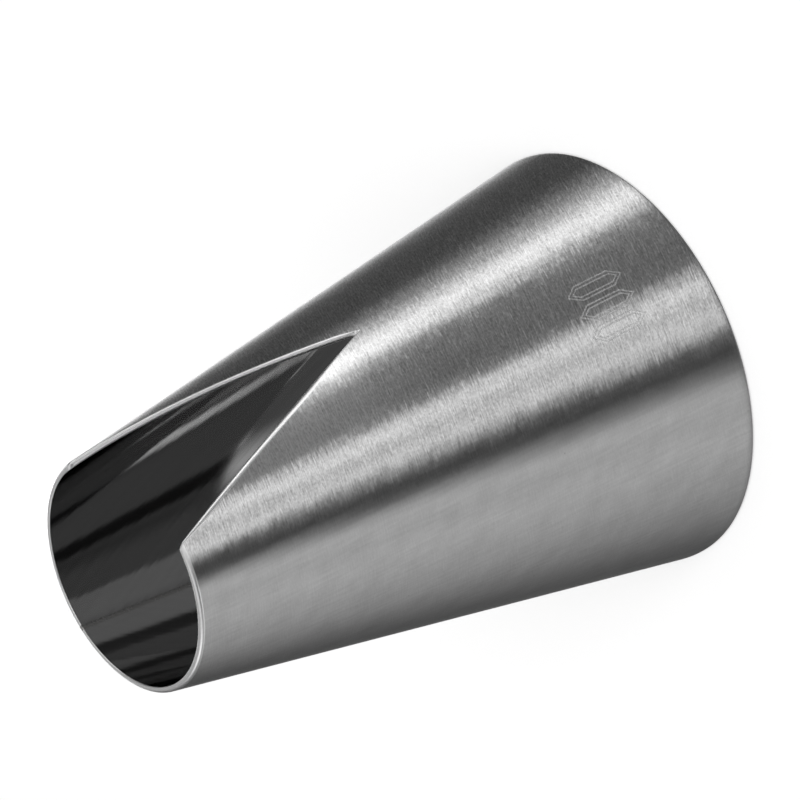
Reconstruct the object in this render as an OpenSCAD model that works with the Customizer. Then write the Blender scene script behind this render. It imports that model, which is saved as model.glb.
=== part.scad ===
// Piping nozzle: a cone of rolled sheet, closed by a welded seam, with a V notch cut out of its mouth.
// The nozzle stands on its base rim at z = 0, its axis is Z and the notch faces -Y. Millimetres and degrees.

/* [Cone] */
// Outer diameter of the base rim
base_d = 35; // [28:0.5:45]
// Outer diameter of the mouth rim
mouth_d = 19.4; // [16:0.1:27]
// Height from the base rim to the mouth rim
height = 50; // [35:0.5:80]
// Thickness of the sheet, square to its face
sheet_t = 0.5; // [0.3:0.05:1.2]

/* [Notch] */
// Depth of the notch below the mouth rim, down to its point on the outer face
notch_depth = 23.4; // [10:0.1:32]
// Distance between the two corners of the notch on the mouth rim
notch_w = 13.7; // [5:0.1:15]
// Angle at which the line where the two cuts meet falls towards the outside
notch_fall = 40; // [20:1:45]

/* [Seam] */
// Angle round the axis from the middle of the notch to the seam
seam_turn = 147; // [90:1:270]
// Width of the bead, which is the gap between the edges of the sheet
bead_w = 0.4; // [0.2:0.05:2]
// Height of the bead above the inner face of the cone
bead_rise = 0.03; // [0.02:0.01:0.3]

/* [Hidden] */
$fn = 128;
// Distance that a cut runs past the faces that it opens
overrun = 1;

base_r = base_d / 2;
mouth_r = mouth_d / 2;
// Half-angle of the cone, and the sheet's thickness measured level, along a radius
cone_angle = atan((base_r - mouth_r) / height);
sheet_across = sheet_t / cos(cone_angle);

// Point of the notch on the outer face, and how far out from the axis its corners lie
point_z = height - notch_depth;
point_r = base_r - point_z * tan(cone_angle);
corner_out = sqrt(mouth_r * mouth_r - notch_w * notch_w / 4);
// Half-width that the notch gains per unit of height, and per unit square to the line of its point
widening = notch_w / 2 / (notch_depth - (point_r - corner_out) * tan(notch_fall));
flank_slope = widening / cos(notch_fall);

// Band of sheet turned about the axis: a plain cone whose wall reaches `inward` from its outer face
module cone_wall(inward) {
    rotate_extrude()
        polygon([
            [base_r - inward, 0],
            [base_r, 0],
            [mouth_r, height],
            [mouth_r - inward, height]
        ]);
}

// Slab through one side of the wall, on the seam's line, as wide as the bead
module seam_slab() {
    rotate([0, 0, seam_turn - 90])
        translate([0, -bead_w / 2, -overrun])
            cube([base_r + overrun, bead_w, height + 2 * overrun]);
}

// Wedge that opens the notch, kept to the notch's own side of the axis
module notch_wedge() {
    intersection() {
        translate([0, -point_r, point_z])
            rotate([90 + notch_fall, 0, 0])
                linear_extrude(height = 2 * height, center = true)
                    polygon([
                        [0, 0],
                        [height * flank_slope, height],
                        [-height * flank_slope, height]
                    ]);
        translate([-base_r, -base_r - overrun, 0])
            cube([base_d, base_r + overrun, height + overrun]);
    }
}

module cone_shell() {
    color("silver")
        difference() {
            cone_wall(sheet_across);
            notch_wedge();
            seam_slab();
        }
}

module seam_weld() {
    color("darkgray")
        intersection() {
            cone_wall(sheet_across + bead_rise);
            seam_slab();
        }
}

cone_shell();
seam_weld();
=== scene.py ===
"""Looks of a steel piping nozzle: a cone of brushed sheet with a V notch, and the weld that closes it."""
import math

import bmesh
import bpy
from bpy.props import FloatProperty, FloatVectorProperty, PointerProperty
from mathutils import Matrix, Vector


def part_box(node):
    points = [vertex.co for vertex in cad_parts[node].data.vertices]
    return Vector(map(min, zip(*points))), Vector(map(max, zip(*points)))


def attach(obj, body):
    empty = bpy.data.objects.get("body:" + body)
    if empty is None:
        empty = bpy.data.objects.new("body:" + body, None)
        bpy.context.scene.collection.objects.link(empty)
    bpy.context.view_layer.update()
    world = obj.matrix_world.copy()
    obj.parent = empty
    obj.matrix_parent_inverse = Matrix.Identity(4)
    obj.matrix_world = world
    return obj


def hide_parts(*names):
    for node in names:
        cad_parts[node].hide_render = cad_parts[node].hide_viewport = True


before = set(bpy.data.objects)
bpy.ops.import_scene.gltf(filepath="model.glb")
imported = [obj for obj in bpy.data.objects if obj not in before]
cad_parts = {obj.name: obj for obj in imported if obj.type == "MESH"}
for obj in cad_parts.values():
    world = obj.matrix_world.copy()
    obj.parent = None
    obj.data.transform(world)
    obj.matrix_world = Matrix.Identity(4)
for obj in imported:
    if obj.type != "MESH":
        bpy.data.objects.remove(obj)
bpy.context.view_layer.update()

bl_info = {
    "name": "Cone Piping Nozzle",
    "version": (1, 0, 0),
    "blender": (4, 5, 0),
    "location": "3D View > Sidebar > Nozzle",
    "description": "Builds a brushed steel cone nozzle with a V notch, its weld, and a soft studio round it",
    "category": "Add Mesh",
}

MM = 0.001
# Vertices closer than this are one
MERGE_GAP = 0.001 * MM
# Share of a half of the sheet, or of the bead, within which a vertex lies on its end
END_GAP = 1e-4
UP = Vector((0.0, 0.0, 1.0))
NOTCH_SIDE = math.radians(-90)
# Places of the sheet's three materials on its piece
OUTSIDE, INSIDE, CUT = 0, 1, 2


# Sizes and finishes that a user would change

class NozzleSizes(bpy.types.PropertyGroup):
    """Sizes of the sheet, the notch, the seam and the broken edges"""
    mouth_d: FloatProperty(
        name="Mouth Diameter", description="Outer diameter of the mouth rim",
        default=19.4 * MM, min=0.0, unit="LENGTH")
    sheet_t: FloatProperty(
        name="Sheet", description="Thickness of the sheet, square to its face",
        default=0.5 * MM, min=0.0, unit="LENGTH")
    notch_depth: FloatProperty(
        name="Notch Depth", description="Depth of the notch below the mouth rim, on the outer face",
        default=23.4 * MM, min=0.0, unit="LENGTH")
    notch_w: FloatProperty(
        name="Notch Width", description="Distance between the notch's corners on the mouth rim",
        default=13.7 * MM, min=0.0, unit="LENGTH")
    notch_fall: FloatProperty(
        name="Notch Fall", description="Angle at which the line where the two cuts meet falls outwards",
        default=math.radians(40), unit="ROTATION")
    seam_turn: FloatProperty(
        name="Seam Turn", description="Angle round the axis from the middle of the notch to the seam",
        default=math.radians(147), unit="ROTATION")
    bead_w: FloatProperty(
        name="Bead Width", description="Width of the weld bead between the edges of the sheet",
        default=0.4 * MM, min=0.0, unit="LENGTH")
    bead_rise: FloatProperty(
        name="Bead Rise", description="Height of the bead above the inner face",
        default=0.03 * MM, min=0.0, unit="LENGTH")
    ripple_pitch: FloatProperty(
        name="Ripple Pitch", description="Distance from one ripple of the bead to the next",
        default=0.5 * MM, min=0.0, unit="LENGTH")
    outer_break: FloatProperty(
        name="Outer Edge", description="Radius that breaks the outer edges of the sheet",
        default=0.26 * MM, min=0.0, unit="LENGTH")
    inner_break: FloatProperty(
        name="Inner Edge", description="Radius that breaks the inner edges of the sheet",
        default=0.08 * MM, min=0.0, unit="LENGTH")
    point_share: FloatProperty(
        name="Point Share", description="Share of the outer edge's radius that is left at the notch's point",
        default=0.06, min=0.0, max=1.0)
    far_share: FloatProperty(
        name="Far Share", description="Share of that radius on the far flank, up to half of its length",
        default=0.35, min=0.0, max=1.0)
    far_width: FloatProperty(
        name="Far Width", description="How many times wider than deep the far flank's outer edge is there",
        default=2.4, min=1.0)
    inner_swell: FloatProperty(
        name="Inner Swell", description="How many times wider the inner edge is at the notch's point",
        default=3.6, min=1.0)
    near_width: FloatProperty(
        name="Near Width", description="How many times wider than deep the outer edge of the near flank is",
        default=1.8, min=1.0)
    corner_round: FloatProperty(
        name="Corner Round", description="Radius of the two corners where the notch meets the mouth rim",
        default=0.34 * MM, min=0.0, unit="LENGTH")
    base_tuck: FloatProperty(
        name="Base Tuck", description="How far the base rim is drawn inwards",
        default=0.17 * MM, min=0.0, unit="LENGTH")
    base_tuck_h: FloatProperty(
        name="Base Tuck Height", description="Height above the base rim at which the cone is straight again",
        default=0.85 * MM, min=0.0, unit="LENGTH")


class NozzleFinish(bpy.types.PropertyGroup):
    """Colours and gloss of the steel"""
    sheet_colour: FloatVectorProperty(
        name="Sheet", description="Colour of the brushed sheet",
        default=(0.62, 0.62, 0.62), subtype="COLOR", min=0.0, max=1.0)
    inside_colour: FloatVectorProperty(
        name="Inside", description="Colour of the smoother inner face",
        default=(0.5, 0.5, 0.5), subtype="COLOR", min=0.0, max=1.0)
    cut_colour: FloatVectorProperty(
        name="Cut Edges", description="Colour of the bright cut edges",
        default=(0.92, 0.92, 0.92), subtype="COLOR", min=0.0, max=1.0)
    weld_colour: FloatVectorProperty(
        name="Weld", description="Colour of the weld bead",
        default=(0.46, 0.458, 0.455), subtype="COLOR", min=0.0, max=1.0)
    heat_colour: FloatVectorProperty(
        name="Heat Tint", description="Colour that the weld's heat left on the bead",
        default=(0.44, 0.43, 0.415), subtype="COLOR", min=0.0, max=1.0)
    sheet_roughness: FloatProperty(
        name="Sheet Roughness", description="Roughness of the brushed outer face between its marks",
        default=0.34, min=0.0, max=1.0)
    inside_roughness: FloatProperty(
        name="Inside Roughness", description="Roughness of the inner face",
        default=0.075, min=0.0, max=1.0)
    weld_roughness: FloatProperty(
        name="Weld Roughness", description="Roughness of the weld bead",
        default=0.24, min=0.0, max=1.0)
    edge_roughness: FloatProperty(
        name="Edge Roughness", description="Roughness of the cut edges",
        default=0.34, min=0.0, max=1.0)


class NozzleStudio(bpy.types.PropertyGroup):
    """Camera, lamp and floor"""
    camera_aim: FloatVectorProperty(
        name="Aim", description="Point that the camera looks at",
        default=(0.777 * MM, -4.24 * MM, 21.551 * MM), subtype="TRANSLATION", unit="LENGTH")
    camera_azimuth: FloatProperty(
        name="Azimuth", description="Angle of the camera round the axis from the notch's side",
        default=math.radians(-48.15), unit="ROTATION")
    camera_elevation: FloatProperty(
        name="Elevation", description="Angle of the camera above the floor",
        default=math.radians(33.114), unit="ROTATION")
    camera_roll: FloatProperty(
        name="Roll", description="Turn of the camera about its own line of sight",
        default=math.radians(-114.1), unit="ROTATION")
    camera_distance: FloatProperty(
        name="Distance", description="Distance from the camera to its aim",
        default=634.4 * MM, min=0.0, unit="LENGTH")
    camera_lens: FloatProperty(
        name="Lens", description="Focal length in millimetres, on a sensor 36 mm wide",
        default=362.1, min=1.0)
    floor_radius: FloatProperty(
        name="Floor Radius", description="Radius of the round floor",
        default=0.8, min=0.0, unit="LENGTH")
    floor_colour: FloatVectorProperty(
        name="Floor", description="Colour of the pale floor",
        default=(0.62, 0.62, 0.62), subtype="COLOR", min=0.0, max=1.0)
    floor_lift: FloatProperty(
        name="Floor Lift", description="Brightness that the floor has of its own where the camera sees it",
        default=0.44, min=0.0)
    room_level: FloatProperty(
        name="Room Level", description="Brightness of the room's light on the floor",
        default=0.65, min=0.0)
    base_glow: FloatProperty(
        name="Base Glow", description="Brightness of the studio between its cards, as the steel sees it",
        default=0.08, min=0.0)
    lamp_power: FloatProperty(
        name="Lamp Power", description="Power of the lamp above, in watts",
        default=1.6, min=0.0)


# The form of the sheet

class Sheet:
    """The rolled sheet as a form: from a place on it to a point in space"""

    # Shares of a flank, from the notch's point: where the outer rounding has grown, and where the inner one
    # starts and ends to shrink, first on the near flank and then on the far one
    GROWN = (0.4, 0.1)
    SHRINK_START = (0.0, 0.3)
    SHRINK_END = (0.3, 0.9)
    # Share of a half of the sheet, from its flank, in which the rows follow the flank's own rounding
    BESIDE = 0.25
    # Shares of each flank in which its wide rounding narrows to the corner's
    CORNER_EASE = (0.1, 0.5)
    # Rise over which a slope is measured, and how often the height of the notch's point is refined
    STEP = 0.01 * MM
    ROUNDS = 8
    # Angle from the notch in which the columns turn from the flank's slope to the cone's, and how much they
    # crowd towards the notch
    FAN = math.radians(100)
    CROWDING = 1.3

    def __init__(self, sizes):
        low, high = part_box("cone_shell")
        self.sizes = sizes
        self.base_radius = high.x
        self.height = high.z - low.z
        mouth_radius = sizes.mouth_d / 2
        self.taper = (self.base_radius - mouth_radius) / self.height
        self.across = sizes.sheet_t * math.hypot(1.0, self.taper)
        self.notch_z = self.height - sizes.notch_depth
        notch_radius = self.radius(self.notch_z)
        corner_out = math.sqrt(mouth_radius ** 2 - (sizes.notch_w / 2) ** 2)
        fall = math.tan(sizes.notch_fall)
        self.widening = sizes.notch_w / 2 / (sizes.notch_depth - (notch_radius - corner_out) * fall)
        self.lean = self.widening * fall
        self.offset = self.lean * notch_radius + self.widening * self.notch_z
        self.points = {}

    def radius(self, z):
        """Radius of the outer face at this height."""
        return self.base_radius - z * self.taper

    def cut_angle(self, z, depth):
        """Angle from the middle of the notch to its flank, at this height and depth in the wall."""
        reach = (self.radius(z) - depth) * math.hypot(1.0, self.lean)
        return math.atan(self.lean) + math.asin((self.widening * z - self.offset) / reach)

    def flank(self, z, inset, depth):
        """The same angle to a line that runs beside the flank, `inset` away from it."""
        step = self.STEP
        turn_per_rise = (self.cut_angle(z + step, depth) - self.cut_angle(z - step, depth)) / (2 * step)
        radius = self.radius(z) - depth
        slant = radius * turn_per_rise / math.hypot(1.0, self.taper)
        return self.cut_angle(z, depth) + inset * math.hypot(1.0, slant) / radius

    def point(self, inset, depth):
        """Height of the notch's point, `inset` inside the outline, at this depth in the wall."""
        if (inset, depth) not in self.points:
            z = self.notch_z
            step = self.STEP
            for _ in range(self.ROUNDS):
                rise = self.flank(z + step, inset, depth) - self.flank(z - step, inset, depth)
                z -= self.flank(z, inset, depth) * 2 * step / rise
            self.points[inset, depth] = z
        return self.points[inset, depth]

    def face_radius(self, z):
        """Radius of the outer face where the base rim is drawn in."""
        near_rim = max(1 - z / self.sizes.base_tuck_h, 0.0)
        return self.radius(z) - self.sizes.base_tuck * near_rim ** 2

    def broken(self, turned, level, inset, depth):
        """Inset and depth of an edge's rounding: small outside and wide inside at the notch's point."""
        sizes = self.sizes
        beside = min(abs(turned) / self.BESIDE, 1.0)
        from_point = min(max(abs(level - 1), beside), 1.0)
        far = self.on_seam_side(turned)
        if depth > sizes.outer_break + MERGE_GAP:
            start, end = self.SHRINK_START[far], self.SHRINK_END[far]
            shrunk = smooth_step((from_point - start) / (end - start))
            share = sizes.inner_swell + (1 - sizes.inner_swell) * shrunk
            return inset * share, self.across - (self.across - depth) * share
        grown = smooth_step(from_point / self.GROWN[far])
        to_corner = smooth_step((from_point - 1) / self.CORNER_EASE[far] + 1)
        full = sizes.far_share + (1 - sizes.far_share) * to_corner if far else 1.0
        share = sizes.point_share + (full - sizes.point_share) * grown
        widest = (sizes.near_width, sizes.far_width)[far] if 1 < level < 2 else 1.0
        widened = grown * (1 - to_corner) * (1 - beside)
        return inset * share * (1 + (widest - 1) * widened), depth * share

    def height_and_flank(self, turned, level, inset, depth):
        """Height of a row and the flank's angle there. Levels: 0 base, 1 notch point, 2 corner, 3 mouth."""
        if level <= 1:
            low = self.broken(turned, 0, inset, depth)[0]
            point = self.point(*self.broken(turned, 1, inset, depth))
            return low + level * (point - low), 0.0
        inset, depth = self.broken(turned, level, inset, depth)
        point = self.point(inset, depth)
        bend = self.sizes.corner_round - inset
        bend_z = self.height - inset - bend
        if level <= 2:
            z = point + (level - 1) * (bend_z - point)
            return z, self.flank(z, inset, depth)
        quarter = (level - 2) * math.pi / 2
        z = bend_z + bend * math.sin(quarter)
        return z, self.flank(z, inset, depth) + bend * (1 - math.cos(quarter)) / self.radius(z)

    def place(self, turned, level, inset, depth):
        """Point `inset` from the outline, `depth` in the wall. `turned` is -1 to 1, from seam to seam."""
        z, flank = self.height_and_flank(turned, level, inset, depth)
        depth = self.broken(turned, level, inset, depth)[1]
        radius = self.face_radius(z) - depth
        span = self.span(turned)
        end = span - math.asin(self.sizes.bead_w / 2 / radius)
        fan = self.FAN
        angle = span * abs(turned) ** self.CROWDING
        if angle < fan:
            angle = flank + angle * (fan - flank) / fan
        else:
            angle = fan + (angle - fan) * (end - fan) / (span - fan)
        return self.at(math.copysign(angle, turned), radius, z)

    def on_seam_side(self, turned):
        """Whether a place is on the seam's side of the notch, which is the side of the far flank."""
        return math.copysign(1.0, turned) > 0

    def span(self, turned):
        """Angle from the notch to the seam on that side."""
        return self.sizes.seam_turn if self.on_seam_side(turned) else math.tau - self.sizes.seam_turn

    def at(self, angle, radius, z):
        """Point at an angle from the middle of the notch."""
        turn = NOTCH_SIDE + angle
        return Vector((radius * math.cos(turn), radius * math.sin(turn), z))


def smooth_step(way):
    """Eases a way from 0 to 1."""
    way = min(max(way, 0.0), 1.0)
    return way * way * (3 - 2 * way)


def edge_rings(sizes, across):
    """Insets and depths that carry an edge round its outer corner, over the cut, round its inner corner."""
    steps = 5
    outer, inner = sizes.outer_break, sizes.inner_break
    turns = [k / steps * math.pi / 2 for k in range(steps + 1)]
    rings = [(outer * (1 - math.sin(turn)), outer * (1 - math.cos(turn))) for turn in turns[1:]]
    rings += [(inner * (1 - math.cos(turn)), across - inner * (1 - math.sin(turn))) for turn in turns]
    return rings


def sheet_levels():
    """Rows of the sheet from the base to the mouth, close together where an edge is near."""
    base_rows = [0.0, 0.004, 0.008, 0.013, 0.018, 0.024, 0.032]
    plain_rows = 12
    flank_rows = 44
    corner_rows = 6
    levels = base_rows + [k / plain_rows for k in range(1, plain_rows)]
    levels += [1 + k / flank_rows for k in range(flank_rows)]
    levels += [2 + k / corner_rows for k in range(corner_rows + 1)]
    return levels


def row_of_vertices(bm, levels):
    """A chain of vertices up a line, grown from one vertex."""
    verts = [bm.verts.new((1.0, 0.0, levels[0]))]
    for level in levels[1:]:
        grown = bmesh.ops.extrude_vert_indiv(bm, verts=[verts[-1]])
        verts.append(grown["verts"][0])
        verts[-1].co.z = level
    return verts


def spun_half(bm, side, columns, turned_layer, level_layer):
    """Half of the sheet, spun from a row about the axis. Each vertex keeps its place on the flat sheet."""
    before = set(bm.verts)
    row = row_of_vertices(bm, sheet_levels())
    edges = list({e for v in row for e in v.link_edges})
    # A degree for each column, so that a vertex's angle tells its column
    turn = math.radians(columns)
    bmesh.ops.spin(
        bm, geom=row + edges, cent=(0, 0, 0), axis=UP * side, angle=turn, steps=columns,
        use_merge=False, use_duplicate=False,
    )
    for v in set(bm.verts) - before:
        spun = math.atan2(v.co.y * side, v.co.x) % math.tau
        column = round(math.degrees(spun)) % 360
        v[turned_layer] = side * (column / columns)
        v[level_layer] = v.co.z


def closed_wall(bm, place, rings, materials=(0, 0, 0)):
    """Gives an open sheet its wall: an inner face, and a rounded edge all round. `place` puts each vertex."""
    outer, inner, cut = materials
    outer_faces = list(bm.faces)
    copied = bmesh.ops.duplicate(bm, geom=outer_faces)
    inner_faces = [g for g in copied["geom"] if isinstance(g, bmesh.types.BMFace)]
    inner_verts = [g for g in copied["geom"] if isinstance(g, bmesh.types.BMVert)]
    bmesh.ops.reverse_faces(bm, faces=inner_faces)
    for f in outer_faces:
        f.material_index = outer
    for f in inner_faces:
        f.material_index = inner
    for v in inner_verts:
        v.co = place(v, *rings[-1])
    rim = list({e for f in outer_faces for e in f.edges if e.is_boundary})
    for inset, depth in rings:
        grown = bmesh.ops.extrude_edge_only(bm, edges=rim)["geom"]
        rim = [g for g in grown if isinstance(g, bmesh.types.BMEdge) and g.is_boundary]
        for v in {v for e in rim for v in e.verts}:
            v.co = place(v, inset, depth)
        for f in grown:
            if isinstance(f, bmesh.types.BMFace):
                f.material_index = cut
    bmesh.ops.remove_doubles(bm, verts=list(bm.verts), dist=MERGE_GAP)


def sharpen_ends(bm, layer):
    """Keeps the shading sharp where a piece ends at the seam, with the layer's value at -1 or 1."""
    for e in bm.edges:
        e.smooth = not all(abs(abs(v[layer]) - 1) < END_GAP for v in e.verts)


def check_closed(bm, name):
    """Stops the script if the mesh is open or inside out."""
    if any(not e.is_manifold or not e.is_contiguous for e in bm.edges):
        raise RuntimeError(f"{name} isn't closed")
    if bm.calc_volume(signed=True) <= 0:
        raise RuntimeError(f"{name} is inside out")


def finished_piece(bm, name, materials):
    """Makes the mesh an object of the scene, with smooth faces and its materials."""
    for f in bm.faces:
        f.smooth = True
    mesh = bpy.data.meshes.new(name)
    bm.to_mesh(mesh)
    bm.free()
    for material in materials:
        mesh.materials.append(material)
    piece = bpy.data.objects.new(name, mesh)
    bpy.context.scene.collection.objects.link(piece)
    return piece


def rolled_cone_mesh(sizes):
    """The sheet: two spun halves that join below the notch, then the wall and its edges."""
    sheet = Sheet(sizes)
    bm = bmesh.new()
    turned_layer = bm.verts.layers.float.new("turned")
    level_layer = bm.verts.layers.float.new("level")
    degrees_per_column = 1.5
    for side in (1, -1):
        columns = round(math.degrees(sheet.span(side)) / degrees_per_column)
        spun_half(bm, side, columns, turned_layer, level_layer)

    def place(v, inset, depth):
        return sheet.place(v[turned_layer], v[level_layer], inset, depth)

    for v in bm.verts:
        v.co = place(v, sizes.outer_break, 0.0)
    bmesh.ops.remove_doubles(bm, verts=list(bm.verts), dist=MERGE_GAP)
    bmesh.ops.recalc_face_normals(bm, faces=list(bm.faces))
    closed_wall(bm, place, edge_rings(sizes, sheet.across), (OUTSIDE, INSIDE, CUT))
    sharpen_ends(bm, turned_layer)
    # The base rim is brushed as the outside is
    for f in bm.faces:
        if all(v.co.z < sizes.outer_break and v[level_layer] == 0 for v in f.verts):
            f.material_index = OUTSIDE
    check_closed(bm, "rolled_cone")
    return bm


def weld_bead_mesh(sizes):
    """The bead: a strip as wide as the gap, flush outside, crowned and rippled inside."""
    sheet = Sheet(sizes)
    bm = bmesh.new()
    columns = 6
    rows_per_ripple = 5
    ripple_depth = 0.25
    ripple_bow = 0.35
    rows = round(sheet.height / sizes.ripple_pitch) * rows_per_ripple
    bmesh.ops.create_grid(bm, x_segments=columns, y_segments=rows, size=1.0)
    across_layer = bm.verts.layers.float.new("across")
    along_layer = bm.verts.layers.float.new("along")
    for v in bm.verts:
        v[across_layer] = v.co.x
        v[along_layer] = (v.co.y + 1) / 2

    def place(v, inset, depth):
        across = v[across_layer]
        z = inset + v[along_layer] * (sheet.height - 2 * inset)
        inward = depth / sheet.across
        wave = math.cos(math.tau * (z / sizes.ripple_pitch + ripple_bow * across ** 2))
        ripple = 1 - ripple_depth + ripple_depth * wave
        crown = sizes.bead_rise * inward * (1 - across ** 2) ** 2 * ripple
        radius = sheet.face_radius(z) - depth
        angle = sizes.seam_turn + math.asin(across * sizes.bead_w / 2 / radius)
        return sheet.at(angle, radius - crown, z)

    for v in bm.verts:
        v.co = place(v, sizes.outer_break, 0.0)
    bmesh.ops.recalc_face_normals(bm, faces=list(bm.faces))
    if sum(f.normal.dot(f.calc_center_median()) for f in bm.faces) < 0:
        bmesh.ops.reverse_faces(bm, faces=list(bm.faces))
    closed_wall(bm, place, edge_rings(sizes, sheet.across))
    sharpen_ends(bm, across_layer)
    check_closed(bm, "weld_bead")
    return bm


# Node helpers

VECTOR = "NodeSocketVector"
FLOAT = "NodeSocketFloat"


def plug(tree, value, socket):
    """Puts a link or a plain value in a socket."""
    if isinstance(value, bpy.types.NodeSocket):
        tree.links.new(value, socket)
    else:
        socket.default_value = value


def fill(tree, node, inputs):
    """Puts links or plain values in a node's inputs, by name or by number."""
    for key, value in inputs.items():
        plug(tree, value, node.inputs[key])


def add_node(tree, kind, inputs=None, **settings):
    """A node of that kind, with its settings and what goes in its inputs."""
    node = tree.nodes.new(kind)
    for key, value in settings.items():
        setattr(node, key, value)
    fill(tree, node, inputs or {})
    return node


def maths(tree, operation, *values):
    """A math node, which gives its output."""
    return add_node(tree, "ShaderNodeMath", dict(enumerate(values)), operation=operation).outputs[0]


def vector_maths(tree, operation, *values, scale=None):
    """A vector math node, which gives its vector."""
    inputs = dict(enumerate(values))
    if scale is not None:
        inputs["Scale"] = scale
    return add_node(tree, "ShaderNodeVectorMath", inputs, operation=operation).outputs[0]


def combine(tree, x, y, z):
    """A vector from three values."""
    return add_node(tree, "ShaderNodeCombineXYZ", {0: x, 1: y, 2: z}).outputs[0]


def split(tree, vector):
    """The three values of a vector."""
    return add_node(tree, "ShaderNodeSeparateXYZ", {0: vector}).outputs


def ramp(tree, value, low, high, to_low=0.0, to_high=1.0, course="SMOOTHSTEP"):
    """A value mapped from one range to another, and kept inside it."""
    node = add_node(
        tree, "ShaderNodeMapRange",
        {"Value": value, "From Min": low, "From Max": high, "To Min": to_low, "To Max": to_high},
        interpolation_type=course,
    )
    return node.outputs["Result"]


def mix_colours(tree, share, first, second):
    """A mix of two colours."""
    factor, colour_a, colour_b, mixed = 0, 6, 7, 2
    inputs = {factor: share, colour_a: first, colour_b: second}
    return add_node(tree, "ShaderNodeMix", inputs, data_type="RGBA").outputs[mixed]


def axis_distance(tree, x, y):
    """The distance of a place from the axis."""
    return maths(tree, "SQRT", maths(tree, "MULTIPLY_ADD", x, x, maths(tree, "MULTIPLY", y, y)))


def new_group(name, inputs, outputs):
    """An empty node group, what it is given, and its output node. An input with no value is a vector."""
    group = bpy.data.node_groups.new(name, "ShaderNodeTree")
    for socket, value in inputs.items():
        kind = VECTOR if value is None else FLOAT
        made = group.interface.new_socket(name=socket, in_out="INPUT", socket_type=kind)
        if value is not None:
            made.default_value = value
    for socket, kind in outputs.items():
        group.interface.new_socket(name=socket, in_out="OUTPUT", socket_type=kind)
    return group, add_node(group, "NodeGroupInput").outputs, add_node(group, "NodeGroupOutput")


def use_group(tree, group, inputs):
    """A group placed in a tree, with what goes in its inputs. It gives its outputs."""
    return add_node(tree, "ShaderNodeGroup", inputs, node_tree=group).outputs


def empty_tree(owner):
    """The emptied node tree of a new material or world."""
    owner.use_nodes = True
    owner.node_tree.nodes.clear()
    return owner.node_tree


# Values of the finishes

# Marks of each surface, in millimetres: how long, how wide, how they lean and bend, and which of their kind
OUTSIDE_MARKS = {
    "long": {"Length": 1.7, "Width": 0.12, "Tilt": 0.18, "Bend": 0.012, "Seed": 3.0},
    "short": {"Length": 0.5, "Width": 0.12, "Tilt": 0.14, "Bend": 0.014, "Seed": 11.0},
    "grain": {"Length": 0.19, "Width": 0.2, "Seed": 41.0},
    "swung": {"Length": 1.1, "Width": 0.12, "Tilt": 0.16, "Bend": 0.012, "Seed": 53.0},
    "drawn": {"Length": 0.25, "Width": 3.2, "Seed": 29.0},
    "waves": {"Length": 0.9, "Width": 22.0, "Seed": 37.0},
    "clouds": {"Length": 2.4, "Width": 1.6, "Tilt": 0.3, "Seed": 5.0},
}
INSIDE_MARKS = {
    "streaks": {"Length": 0.35, "Width": 14.0, "Seed": 7.0},
    "fine": {"Length": 0.9, "Width": 0.12, "Seed": 13.0},
}
CUT_MARKS = {"ground": {"Length": 0.25, "Width": 0.25, "Seed": 17.0}}
WELD_MARKS = {
    "fine": {"Length": 0.6, "Width": 0.12, "Seed": 19.0},
    "heat": {"Length": 0.8, "Width": 2.5, "Seed": 23.0},
}
# How much each value tells in the brush pattern, in the tone, in the gloss and in the swing of the normal
OUTSIDE_WEIGHTS = {
    "pattern": {"long": 0.7, "short": 0.9, "grain": 0.75},
    "tone": {
        "pattern": 0.24, "strong": 0.22, "drawn": 0.06, "clouds": 0.05,
        # The last tone here is a painted highlight: a lighter colour beside the notch, standing in for light
        # on the wall
        "specks": -0.25, "etched": 0.5, "painted_highlight": 0.42,
    },
    "gloss": {"strong": 0.1, "etched": 0.35},
    "swing": {"swung": 0.034, "waves": 0.012, "clouds": 0.008},
}
INSIDE_WEIGHTS = {
    "tone": {"streaks": 0.06, "fine": 0.02},
    "gloss": {"fine": 0.01},
    "swing": {"streaks": 0.008},
}
CUT_WEIGHTS = {"tone": {"ground": 0.04}, "gloss": {"strong ground": 0.1}}
WELD_WEIGHTS = {"tone": {"fine": 0.05}, "gloss": {"strong fine": 0.05}}
# How much the gloss of each finish is stretched, and how its stretch is turned, as a share of a full turn
OUTSIDE_STRETCH = 0.95
INSIDE_STRETCH = 0.5
WELD_STRETCH = 0.3
STRETCH_TURN = 0.25
# Distance from the middle of the marks, in millimetres round the cone, over which they bend
BENT_MARKS = 20.0
# Detail of the noise that marks are made of, its values that read as -1 and 1, and those between which a mark
# grows strong
MARK_DETAIL = 1.5
SIGNED_NOISE = (0.25, 0.75)
STRONG_NOISE = (0.56, 0.74)
# Cosines of the angle from the notch's side between which the marks grow strong, and their strength behind
MARKED_SIDE = (0.42, 0.7)
FAINT_MARKS = 0.15
# Painted highlight beside the notch, a lighter patch painted into the colour where light falls on the wall:
# the angle of its middle, the cosines between which it fades in, and the heights in millimetres between which
# it sets in
PAINTED_HIGHLIGHT_MIDDLE = math.radians(-105)
PAINTED_HIGHLIGHT_SIDE = (0.88, 0.965)
PAINTED_HIGHLIGHT_RISE = (22.0, 36.0)
# Specks: millimetres apart and across, the share of their size that is full, the random values between which
# a cell comes to hold one, and a depth of cell that makes them the same at each radius
SPECKS = {"Spacing": 2.2, "Size": 0.09}
SPECK_CORE = 0.5
SPECK_CHANCE = (0.6, 0.7)
SPECK_DEPTH = 1000.0
# Etched bars: how many, how much their ends narrow for each millimetre, and the shares of a line's width from
# its middle at which it is full and gone
BARS = 3
BAR_POINT = 0.7
LINE_FADE = (0.2, 0.75)
# Noise values of the bead between which its heat tint sets in, and the least and most of it
HEAT_TINT = (-0.4, 0.6, 0.0, 0.6)


# Shared effects

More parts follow.
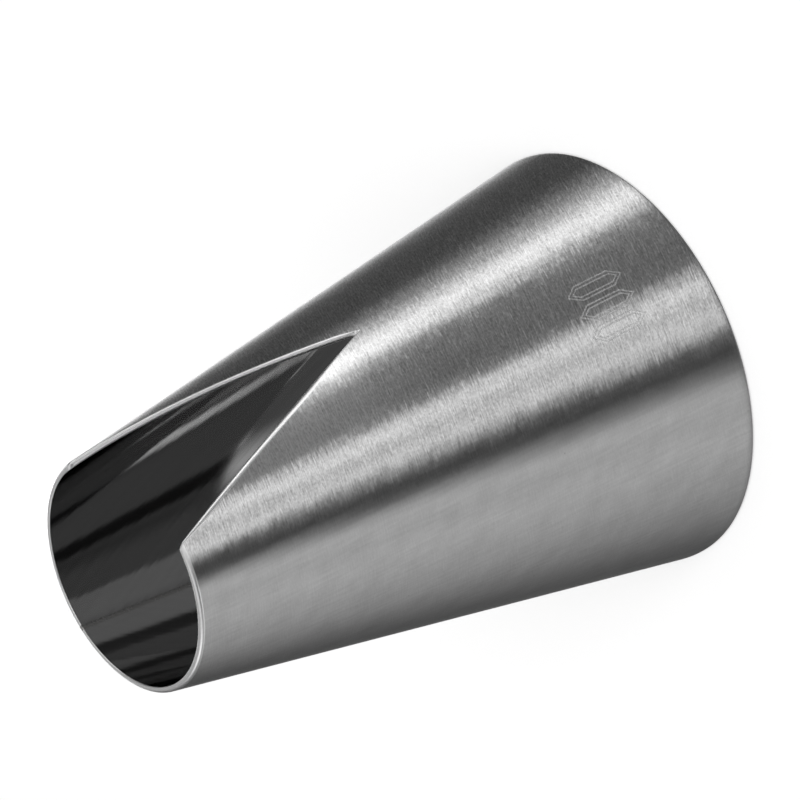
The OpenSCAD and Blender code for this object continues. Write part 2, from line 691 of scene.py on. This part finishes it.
def unrolled_group(name):
    """Millimetres round the cone and up it, as on the flat sheet, with the cut at the seam."""
    group, _, out = new_group(name, {}, {"Place": VECTOR})
    here = add_node(group, "ShaderNodeTexCoord").outputs["Object"]
    seam = bpy.context.scene.nozzle_sizes.seam_turn + NOTCH_SIDE
    inputs = {"Vector": here, "Angle": math.pi - seam}
    turned = add_node(group, "ShaderNodeVectorRotate", inputs, rotation_type="Z_AXIS").outputs[0]
    x, y, z = split(group, turned)
    radius = axis_distance(group, x, y)
    along = maths(group, "MULTIPLY", maths(group, "ARCTAN2", y, x), radius)
    place = combine(group, *(maths(group, "DIVIDE", length, MM) for length in (along, z, radius)))
    fill(group, out, {"Place": place})
    return group


def marks_group(name):
    """Marks of a given length and width in millimetres: a signed value and a mask of the strong ones."""
    group, given, out = new_group(
        name,
        {"Place": None, "Length": 1.0, "Width": 0.1, "Tilt": 0.0, "Bend": 0.0, "Seed": 0.0},
        {"Signed": FLOAT, "Strong": FLOAT},
    )
    round_mm, up_mm, _ = split(group, given["Place"])
    bent = maths(group, "MINIMUM", maths(group, "MAXIMUM", round_mm, -BENT_MARKS), BENT_MARKS)
    tilt = maths(group, "MULTIPLY_ADD", bent, given["Bend"], given["Tilt"])
    lean = maths(group, "MULTIPLY", round_mm, tilt)
    stretched = combine(
        group,
        maths(group, "DIVIDE", round_mm, given["Length"]),
        maths(group, "DIVIDE", maths(group, "ADD", up_mm, lean), given["Width"]),
        given["Seed"],
    )
    inputs = {"Vector": stretched, "Scale": 1.0, "Detail": MARK_DETAIL}
    value = add_node(group, "ShaderNodeTexNoise", inputs).outputs["Fac"]
    signed = ramp(group, value, *SIGNED_NOISE, -1.0, 1.0, course="LINEAR")
    fill(group, out, {"Signed": signed, "Strong": ramp(group, value, *STRONG_NOISE)})
    return group


def swung_normal_group(name):
    """The face's normal, swung round the axis by a small signed angle, as each brush mark swings it."""
    group, given, out = new_group(name, {"Swing": 0.0}, {"Normal": VECTOR})
    normal = add_node(group, "ShaderNodeNewGeometry").outputs["Normal"]
    level = vector_maths(group, "CROSS_PRODUCT", tuple(UP), normal)
    aside = vector_maths(group, "SCALE", level, scale=given["Swing"])
    swung = vector_maths(group, "NORMALIZE", vector_maths(group, "ADD", normal, aside))
    fill(group, out, {"Normal": swung})
    return group


def specks_group(name):
    """Sparse small specks and nicks as a mask."""
    group, given, out = new_group(name, {"Place": None, "Spacing": 2.0, "Size": 0.05}, {"Mask": FLOAT})
    spacing, size = given["Spacing"], given["Size"]
    spaced = vector_maths(group, "DIVIDE", given["Place"], combine(group, spacing, spacing, SPECK_DEPTH))
    cells = add_node(group, "ShaderNodeTexVoronoi", {"Vector": spaced, "Scale": 1.0}, feature="F1").outputs
    apart = maths(group, "MULTIPLY", cells["Distance"], spacing)
    off = ramp(group, apart, maths(group, "MULTIPLY", size, SPECK_CORE), size)
    chance = add_node(group, "ShaderNodeSeparateColor", {0: cells["Color"]}).outputs[0]
    kept = ramp(group, chance, *SPECK_CHANCE)
    fill(group, out, {"Mask": maths(group, "MULTIPLY", maths(group, "SUBTRACT", 1.0, off), kept)})
    return group


def bars_group(name):
    """Three long bars with pointed ends, side by side, each a double outline: a mask of their lines."""
    group, given, out = new_group(
        name,
        {
            "Place": None, "Round": -0.37, "Up": 8.95, "Length": 5.2, "Width": 1.5,
            "Pitch": 1.88, "Apart": 0.3, "Line": 0.13,
        },
        {"Mask": FLOAT},
    )
    round_mm, up_mm, _ = split(group, given["Place"])
    side = maths(group, "SUBTRACT", round_mm, given["Round"])
    rise = maths(group, "ABSOLUTE", maths(group, "SUBTRACT", up_mm, given["Up"]))
    half_pitch = maths(group, "MULTIPLY", given["Pitch"], 0.5)
    below = maths(group, "MULTIPLY", half_pitch, -1.0)
    from_middle = maths(group, "ABSOLUTE", maths(group, "WRAP", side, half_pitch, below))
    half_width = maths(group, "MULTIPLY", given["Width"], 0.5)
    pointed = maths(group, "MULTIPLY", half_width, -1 / BAR_POINT)
    straight = maths(group, "MULTIPLY_ADD", given["Length"], 0.5, pointed)
    past = maths(group, "MAXIMUM", maths(group, "SUBTRACT", rise, straight), 0.0)
    reach = maths(group, "MULTIPLY_ADD", past, BAR_POINT, from_middle)
    inward = maths(group, "SUBTRACT", half_width, reach)
    line = given["Line"]
    off_outer = maths(group, "SUBTRACT", inward, maths(group, "MULTIPLY", line, 0.5))
    off_inner = maths(group, "SUBTRACT", off_outer, given["Apart"])
    nearest = maths(group, "MINIMUM", *(maths(group, "ABSOLUTE", off) for off in (off_outer, off_inner)))
    full, gone = (maths(group, "MULTIPLY", line, share) for share in LINE_FADE)
    drawn = ramp(group, nearest, full, gone, 1.0, 0.0)
    ends = maths(group, "MULTIPLY", given["Pitch"], BARS / 2)
    within = maths(group, "LESS_THAN", maths(group, "ABSOLUTE", side), ends)
    fill(group, out, {"Mask": maths(group, "MULTIPLY", drawn, within)})
    return group


def shared_effects():
    """The node groups, each built the first time that it is asked for."""
    makers = {
        "unrolled_sheet": unrolled_group,
        "brush_marks": marks_group,
        "swung_normal": swung_normal_group,
        "specks": specks_group,
        "etched_bars": bars_group,
    }
    return {name: bpy.data.node_groups.get(name) or make(name) for name, make in makers.items()}


# Materials

def side_mask(tree, middle, low, high):
    """How much a place on the cone faces an angle round the axis, between two cosines."""
    x, y, _ = split(tree, add_node(tree, "ShaderNodeTexCoord").outputs["Object"])
    along = maths(tree, "MULTIPLY_ADD", x, math.cos(middle), maths(tree, "MULTIPLY", y, math.sin(middle)))
    return ramp(tree, maths(tree, "DIVIDE", along, axis_distance(tree, x, y)), low, high)


def new_metal(name, stretch=None):
    """A metal with only its shader and output. Its gloss may be stretched."""
    material = bpy.data.materials.new(name)
    tree = empty_tree(material)
    shader = add_node(tree, "ShaderNodeBsdfPrincipled", {"Metallic": 1.0})
    if stretch is not None:
        fill(tree, shader, {"Anisotropic": stretch, "Anisotropic Rotation": STRETCH_TURN})
    add_node(tree, "ShaderNodeOutputMaterial", {"Surface": shader.outputs[0]})
    return material, tree, shader


def marks_on(tree, groups, kinds):
    """Each kind of mark, the mask of its strong ones, and the place on the flat sheet that they read."""
    values = {"place": use_group(tree, groups["unrolled_sheet"], {})["Place"]}
    for name, kind in kinds.items():
        marks = use_group(tree, groups["brush_marks"], {"Place": values["place"], **kind})
        values[name] = marks["Signed"]
        values[f"strong {name}"] = marks["Strong"]
    return values


def total(tree, values, weights, start=0.0):
    """The sum of the named values, each with its weight, on top of a start."""
    for name, weight in weights.items():
        start = maths(tree, "MULTIPLY_ADD", values[name], weight, start)
    return start


def dress(tree, shader, groups, colour, roughness, values, weights):
    """Gives the shader its colour, roughness and swung normal, each changed by the weighted values."""
    tone = total(tree, values, weights["tone"], 1.0)
    gloss = total(tree, values, weights["gloss"], roughness)
    fill(tree, shader, {"Base Color": vector_maths(tree, "SCALE", colour, scale=tone), "Roughness": gloss})
    if "swing" in weights:
        swing = {"Swing": total(tree, values, weights["swing"])}
        fill(tree, shader, {"Normal": use_group(tree, groups["swung_normal"], swing)["Normal"]})


def brushed_outside(finish, groups):
    """Brushed sheet: marks round the cone, strongest on the notch's side, with three etched bars and a
    painted highlight beside the notch.
    """
    material, tree, shader = new_metal("brushed_outside", OUTSIDE_STRETCH)
    values = marks_on(tree, groups, OUTSIDE_MARKS)
    values["pattern"] = total(tree, values, OUTSIDE_WEIGHTS["pattern"])
    values["strong"] = maths(tree, "MAXIMUM", values["strong long"], values["strong short"])
    facing = side_mask(tree, NOTCH_SIDE, *MARKED_SIDE)
    strength = maths(tree, "MULTIPLY_ADD", facing, 1 - FAINT_MARKS, FAINT_MARKS)
    for name in ("pattern", "strong", "swung"):
        values[name] = maths(tree, "MULTIPLY", values[name], strength)
    place = {"Place": values["place"]}
    values["specks"] = use_group(tree, groups["specks"], {**place, **SPECKS})["Mask"]
    values["etched"] = use_group(tree, groups["etched_bars"], place)["Mask"]
    # Painted highlight: the colour is made lighter beside the near flank, higher up the cone, in the place of
    # light falling there
    _, up_mm, _ = split(tree, values["place"])
    risen = ramp(tree, up_mm, *PAINTED_HIGHLIGHT_RISE)
    values["painted_highlight"] = maths(tree, "MULTIPLY", side_mask(tree, PAINTED_HIGHLIGHT_MIDDLE, *PAINTED_HIGHLIGHT_SIDE), risen)
    dress(tree, shader, groups, finish.sheet_colour, finish.sheet_roughness, values, OUTSIDE_WEIGHTS)
    return material


def smooth_inside(finish, groups):
    """The inner face: smoother and darker, with faint streaks up the cone."""
    material, tree, shader = new_metal("smooth_inside", INSIDE_STRETCH)
    values = marks_on(tree, groups, INSIDE_MARKS)
    dress(tree, shader, groups, finish.inside_colour, finish.inside_roughness, values, INSIDE_WEIGHTS)
    return material


def cut_edges(finish, groups):
    """The cut edges: bright, with fine grinding marks."""
    material, tree, shader = new_metal("cut_edges")
    values = marks_on(tree, groups, CUT_MARKS)
    dress(tree, shader, groups, finish.cut_colour, finish.edge_roughness, values, CUT_WEIGHTS)
    return material


def weld_metal(finish, groups):
    """The bead: ground and polished like the inside, a little darker, with a trace of heat tint."""
    material, tree, shader = new_metal("weld_metal", WELD_STRETCH)
    values = marks_on(tree, groups, WELD_MARKS)
    tint = ramp(tree, values["heat"], *HEAT_TINT)
    colour = mix_colours(tree, tint, (*finish.weld_colour, 1.0), (*finish.heat_colour, 1.0))
    dress(tree, shader, groups, colour, finish.weld_roughness, values, WELD_WEIGHTS)
    return material


# Studio

# Cards of the studio, in degrees: middle azimuth, half width and softness, then lowest and highest elevation
# and their softness, then how far the card falls for each radian round, and a brightness
CARD_ANGLES = ("Middle", "Half width", "Softness", "Lowest", "Highest", "Rise softness", "Fall")
CARDS = {
    "key strip": (-63.8, 6.3, 12, -36, 60, 12, 0, 2.45),
    "key skirt": (-47, 3, 9, -36, 60, 12, 0, 0.55),
    "front strip": (-141.8, 6.9, 7, -36, 60, 12, 0, 1.2),
    "second strip": (-124.3, 4.5, 8, -36, 60, 12, 0, 1.8),
    "side card": (158, 20, 64, -36, 12, 6, 0, 0.95),
    "flank card": (178, 14, 20, -36, 12, 6, 0, 0.12),
    "corner card": (184, 7, 4, 2, 15, 3, 0, 1.4),
    "fill card": (-92.6, 12, 32, -36, 60, 12, 0, 0.18),
    "far fill": (12, 10, 14, -36, 60, 12, 0, 0.1),
    "backdrop": (35.5, 12, 12, -42, 8, 12, 0, 3.7),
    "rear card": (42, 30, 20, 24, 60, 12, 0, 0.28),
    "rim card": (122, 28, 16, 20, 60, 8, 0, 0.45),
    "left rim card": (98, 22, 8, 30, 49, 4, 0, 1.1),
    "top card": (0, 180, 1, 58, 120, 12, 0, 0.6),
    "low card": (72, 28, 5, -120, -50, 12, 0, 0.17),
    "low side card": (137, 22, 6, -120, -54, 4, 0, 0.17),
    "low flank card": (176, 10, 12, -50.5, -42, 2, 0, 0.42),
    "low spot": (-168, 7.5, 5, -54.25, -52.7, 0.2, 7.5, 1.5),
    "low glow": (0, 180, 1, -120, -50, 12, 0, 0.04),
}
# Black flags that darken what lies behind them, with a darkness in the place of a brightness
FLAGS = {
    "front flag": (-159.3, 9.5, 10, -50, 90, 12, 0, 0.98),
    "low gap": (-58, 13, 5, -120, -50, 6, 0, 0.88),
    "low fade": (-30, 14, 20, -120, -50, 6, 0, 0.45),
    "low far gap": (176, 14, 3, -120, -58.5, 2, 0, 0.7),
}
# Distance between the base rim and the floor, so that the two don't lie in one plane
FLOOR_GAP = 0.02 * MM
FLOOR_SIDES = 96
# Width and distance of the lamp in metres, and its angle above the floor
LAMP_WIDTH = 0.4
LAMP_DISTANCE = 0.6
LAMP_ELEVATION = math.radians(62)
# Width of the camera's sensor in millimetres, and how far it sees in metres
SENSOR_WIDTH = 36.0
SIGHT = 10.0


def card_group(name):
    """A soft-edged card in the studio: how much of it is seen in a direction."""
    inputs = dict.fromkeys(("Azimuth", "Elevation", *CARD_ANGLES), 0.0)
    group, given, out = new_group(name, inputs, {"Seen": FLOAT})

    def soft_edge(edge, softness):
        return [maths(group, operation, given[edge], given[softness]) for operation in ("SUBTRACT", "ADD")]

    off = maths(group, "SUBTRACT", given["Azimuth"], given["Middle"])
    off = maths(group, "WRAP", off, math.pi, -math.pi)
    sideways = ramp(group, maths(group, "ABSOLUTE", off), *soft_edge("Half width", "Softness"), 1.0, 0.0)
    elevation = maths(group, "MULTIPLY_ADD", off, given["Fall"], given["Elevation"])
    above = ramp(group, elevation, *soft_edge("Lowest", "Rise softness"))
    below = ramp(group, elevation, *soft_edge("Highest", "Rise softness"), 1.0, 0.0)
    seen = maths(group, "MULTIPLY", sideways, maths(group, "MULTIPLY", above, below))
    fill(group, out, {"Seen": seen})
    return group


def studio_world(studio):
    """White to the camera, soft grey light on the floor, and a studio of cards for the steel to reflect."""
    world = bpy.data.worlds.new("studio")
    world.cycles.sampling_method = "NONE"
    tree = empty_tree(world)
    x, y, z = split(tree, add_node(tree, "ShaderNodeTexCoord").outputs["Generated"])
    direction = {"Azimuth": maths(tree, "ARCTAN2", y, x), "Elevation": maths(tree, "ARCSINE", z)}
    group = card_group("studio_card")

    def seen(card):
        angles = zip(CARD_ANGLES, map(math.radians, card))
        return use_group(tree, group, {**direction, **dict(angles)})["Seen"]

    glow = studio.base_glow
    for card in CARDS.values():
        glow = maths(tree, "MULTIPLY_ADD", seen(card), card[-1], glow)
    for flag in FLAGS.values():
        glow = maths(tree, "MULTIPLY", glow, maths(tree, "MULTIPLY_ADD", seen(flag), -flag[-1], 1.0))
    rays = add_node(tree, "ShaderNodeLightPath").outputs
    glossy = rays["Is Glossy Ray"]
    room = maths(tree, "MULTIPLY", maths(tree, "SUBTRACT", 1.0, glossy), studio.room_level)
    level = maths(tree, "ADD", maths(tree, "MULTIPLY", glow, glossy), room)
    level = maths(tree, "MAXIMUM", level, rays["Is Camera Ray"])
    background = add_node(tree, "ShaderNodeBackground", {"Color": (1.0, 1.0, 1.0, 1.0), "Strength": level})
    add_node(tree, "ShaderNodeOutputWorld", {"Surface": background.outputs[0]})
    bpy.context.scene.world = world


def pale_floor(studio):
    """A round pale floor under the rim. It reads white and keeps the shadow, and isn't seen from below."""
    bm = bmesh.new()
    bmesh.ops.create_circle(bm, cap_ends=True, segments=FLOOR_SIDES, radius=studio.floor_radius)
    bmesh.ops.translate(bm, verts=list(bm.verts), vec=(0, 0, -FLOOR_GAP))
    material = bpy.data.materials.new("pale_floor")
    tree = empty_tree(material)
    matt = add_node(tree, "ShaderNodeBsdfDiffuse", {"Color": (*studio.floor_colour, 1.0)})
    seen = add_node(tree, "ShaderNodeLightPath").outputs["Is Camera Ray"]
    lifted = maths(tree, "MULTIPLY", seen, studio.floor_lift)
    lift = add_node(tree, "ShaderNodeEmission", {"Strength": lifted})
    both = add_node(tree, "ShaderNodeAddShader", {0: matt.outputs[0], 1: lift.outputs[0]})
    clear = add_node(tree, "ShaderNodeBsdfTransparent")
    below = add_node(tree, "ShaderNodeNewGeometry").outputs["Backfacing"]
    sides = add_node(tree, "ShaderNodeMixShader", {0: below, 1: both.outputs[0], 2: clear.outputs[0]})
    add_node(tree, "ShaderNodeOutputMaterial", {"Surface": sides.outputs[0]})
    floor = finished_piece(bm, "pale_floor", [material])
    floor.visible_glossy = False
    floor.visible_shadow = False


def set_up(piece, aim, distance, azimuth, elevation, roll=0.0):
    """Puts a camera or lamp in the scene, looking at its aim, and turned about its line of sight."""
    back = Vector((
        math.sin(azimuth) * math.cos(elevation),
        -math.cos(azimuth) * math.cos(elevation),
        math.sin(elevation),
    ))
    level_right = Vector((math.cos(azimuth), math.sin(azimuth), 0.0))
    level_up = back.cross(level_right)
    right = level_right * math.cos(roll) + level_up * math.sin(roll)
    turn = Matrix((right, back.cross(right), back)).transposed().to_4x4()
    piece.matrix_world = Matrix.Translation(aim + back * distance) @ turn
    bpy.context.scene.collection.objects.link(piece)


def photo_camera(studio):
    """The camera, as far away and as long as the outline of the cone asks for."""
    data = bpy.data.cameras.new("photo_camera")
    data.lens = studio.camera_lens
    data.sensor_width = SENSOR_WIDTH
    data.clip_end = SIGHT
    camera = bpy.data.objects.new("photo_camera", data)
    set_up(
        camera, Vector(studio.camera_aim), studio.camera_distance,
        studio.camera_azimuth, studio.camera_elevation, studio.camera_roll,
    )
    bpy.context.scene.camera = camera


def top_lamp(studio):
    """A wide soft lamp, high on the camera's side, so that the shadow falls behind the nozzle."""
    data = bpy.data.lights.new("top_lamp", "AREA")
    data.shape = "DISK"
    data.size = LAMP_WIDTH
    data.energy = studio.lamp_power
    lamp = bpy.data.objects.new("top_lamp", data)
    set_up(lamp, Vector(), LAMP_DISTANCE, studio.camera_azimuth, LAMP_ELEVATION)
    lamp.visible_camera = False
    lamp.visible_glossy = False


# Operators, panel and registration

class NOZZLE_OT_rolled_cone(bpy.types.Operator):
    """Roll the brushed sheet with its notch, in the place of the plain cone"""
    bl_idname = "nozzle.rolled_cone"
    bl_label = "Rolled Cone"

    def execute(self, context):
        scene = context.scene
        groups = shared_effects()
        makers = (brushed_outside, smooth_inside, cut_edges)
        materials = [make(scene.nozzle_finish, groups) for make in makers]
        cone = finished_piece(rolled_cone_mesh(scene.nozzle_sizes), "rolled_cone", materials)
        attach(cone, "root")
        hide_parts("cone_shell")
        return {"FINISHED"}


class NOZZLE_OT_weld_bead(bpy.types.Operator):
    """Lay the weld bead along the seam, in the place of the plain strip"""
    bl_idname = "nozzle.weld_bead"
    bl_label = "Weld Bead"

    def execute(self, context):
        scene = context.scene
        material = weld_metal(scene.nozzle_finish, shared_effects())
        bead = finished_piece(weld_bead_mesh(scene.nozzle_sizes), "weld_bead", [material])
        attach(bead, "root")
        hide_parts("seam_weld")
        return {"FINISHED"}


class NOZZLE_OT_studio(bpy.types.Operator):
    """Set up the camera, the floor, the lamp and the studio that the steel reflects"""
    bl_idname = "nozzle.studio"
    bl_label = "Studio"

    def execute(self, context):
        studio = context.scene.nozzle_studio
        photo_camera(studio)
        pale_floor(studio)
        top_lamp(studio)
        studio_world(studio)
        context.scene.view_settings.view_transform = "Standard"
        return {"FINISHED"}


class NOZZLE_PT_panel(bpy.types.Panel):
    """Panel with the nozzle's pieces, sizes and finishes"""
    bl_idname = "NOZZLE_PT_panel"
    bl_label = "Piping Nozzle"
    bl_space_type = "VIEW_3D"
    bl_region_type = "UI"
    bl_category = "Nozzle"

    def draw(self, context):
        for operator in OPERATORS:
            self.layout.operator(operator.bl_idname)
        for name, group in GROUPS.items():
            column = self.layout.column()
            for size in group.__annotations__:
                column.prop(getattr(context.scene, name), size)


GROUPS = {
    "nozzle_sizes": NozzleSizes,
    "nozzle_finish": NozzleFinish,
    "nozzle_studio": NozzleStudio,
}
OPERATORS = (NOZZLE_OT_studio, NOZZLE_OT_rolled_cone, NOZZLE_OT_weld_bead)


def register():
    """Registers the properties, the operators and the panel."""
    for name, group in GROUPS.items():
        bpy.utils.register_class(group)
        setattr(bpy.types.Scene, name, PointerProperty(type=group))
    for operator in OPERATORS:
        bpy.utils.register_class(operator)
    bpy.utils.register_class(NOZZLE_PT_panel)


def unregister():
    """Takes them out again."""
    bpy.utils.unregister_class(NOZZLE_PT_panel)
    for operator in reversed(OPERATORS):
        bpy.utils.unregister_class(operator)
    for name, group in reversed(GROUPS.items()):
        delattr(bpy.types.Scene, name)
        bpy.utils.unregister_class(group)


def main():
    """Builds the scene."""
    register()
    bpy.ops.nozzle.studio()
    bpy.ops.nozzle.rolled_cone()
    bpy.ops.nozzle.weld_bead()


if __name__ == "__main__":
    main()
